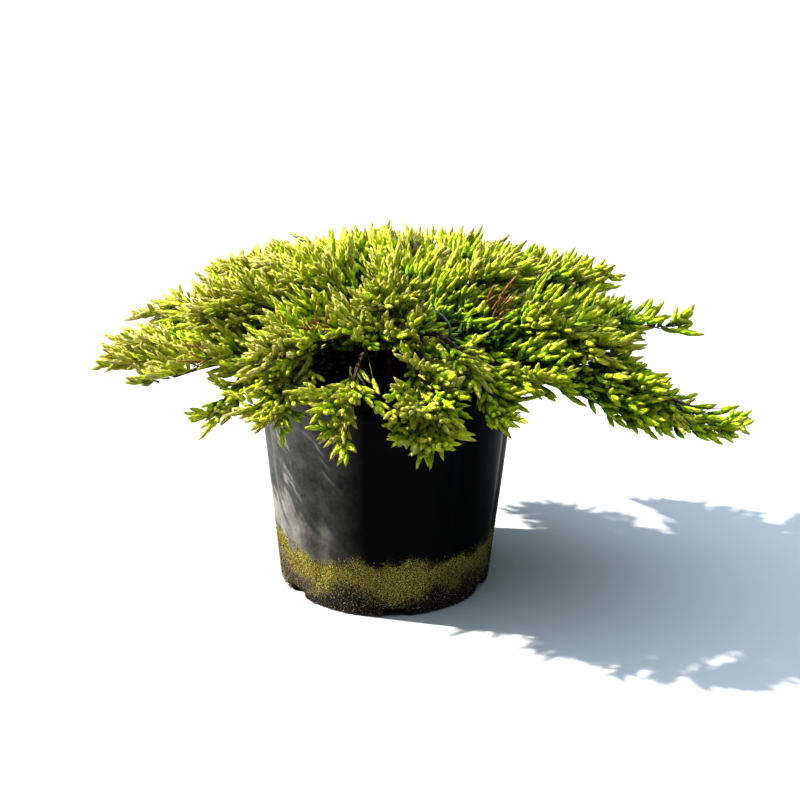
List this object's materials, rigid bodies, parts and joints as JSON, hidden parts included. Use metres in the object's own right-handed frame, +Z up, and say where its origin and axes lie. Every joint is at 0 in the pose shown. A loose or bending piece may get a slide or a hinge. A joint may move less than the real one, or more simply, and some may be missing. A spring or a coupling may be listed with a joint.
{
  "type": "potted conifer",
  "caption": "Low spreading golden juniper in a round tapered nursery pot; arching boughs carry layered sprays of short, plump shoots that droop over the rim.",
  "frame": {"origin": "centre of the pot's flat underside", "axes": "+Z up; +X the way the crown spreads furthest; the plant's front, where its fronds hang over the rim, faces -Y"},
  "size_m": [0.6682, 0.4422, 0.3698],
  "materials": {
    "pot": "black moulded polyethylene, low sheen, with a band of algae and dried grit near the foot",
    "soil": "moist composted bark potting mix",
    "bark": "thin reddish brown bark, peeling in strips",
    "foliage": "waxy scale leaves, golden yellow-green at the tips and deeper green inside"
  },
  "bodies": {
    "root": {"pot": "pot", "soil": "soil", "stem": "bark", "bough_rear_top": "bark", "bough_left_top": "bark", "bough_right_top": "bark", "bough_front_top": "bark", "bough_rear_left_top": "bark", "bough_left_frond": "bark", "bough_rear_left_frond": "bark", "bough_rear_frond": "bark", "bough_rear_right_frond": "bark", "bough_right_low_frond": "bark", "bough_front_right_sprig": "bark", "bough_front_frond": "bark", "bough_front_left_frond": "bark", "bough_front_sprig": "bark", "bough_left_low_frond": "bark", "bough_lower_left_sprig": "bark", "bough_left_rear_frond": "bark", "bough_right_frond": "bark", "bough_right_front_sprig": "bark", "bough_left_shoulder": "bark", "bough_rear_left_shoulder": "bark", "bough_rear_shoulder": "bark", "bough_rear_right_shoulder": "bark", "bough_right_shoulder": "bark", "bough_right_front_shoulder": "bark", "bough_front_right_shoulder": "bark", "bough_front_shoulder": "bark", "bough_front_left_shoulder": "bark", "foliage_rear_top": "foliage", "foliage_left_top": "foliage", "foliage_right_top": "foliage", "foliage_front_top": "foliage", "foliage_rear_left_top": "foliage", "foliage_left_frond": "foliage", "foliage_rear_left_frond": "foliage", "foliage_rear_frond": "foliage", "foliage_rear_right_frond": "foliage", "foliage_right_low_frond": "foliage", "foliage_front_right_sprig": "foliage", "foliage_front_frond": "foliage", "foliage_front_left_frond": "foliage", "foliage_front_sprig": "foliage", "foliage_left_low_frond": "foliage", "foliage_lower_left_sprig": "foliage", "foliage_left_rear_frond": "foliage", "foliage_right_frond": "foliage", "foliage_right_front_sprig": "foliage", "foliage_left_shoulder": "foliage", "foliage_rear_left_shoulder": "foliage", "foliage_rear_shoulder": "foliage", "foliage_rear_right_shoulder": "foliage", "foliage_right_shoulder": "foliage", "foliage_right_front_shoulder": "foliage", "foliage_front_right_shoulder": "foliage", "foliage_front_shoulder": "foliage", "foliage_front_left_shoulder": "foliage"}
  },
  "joints": []
}
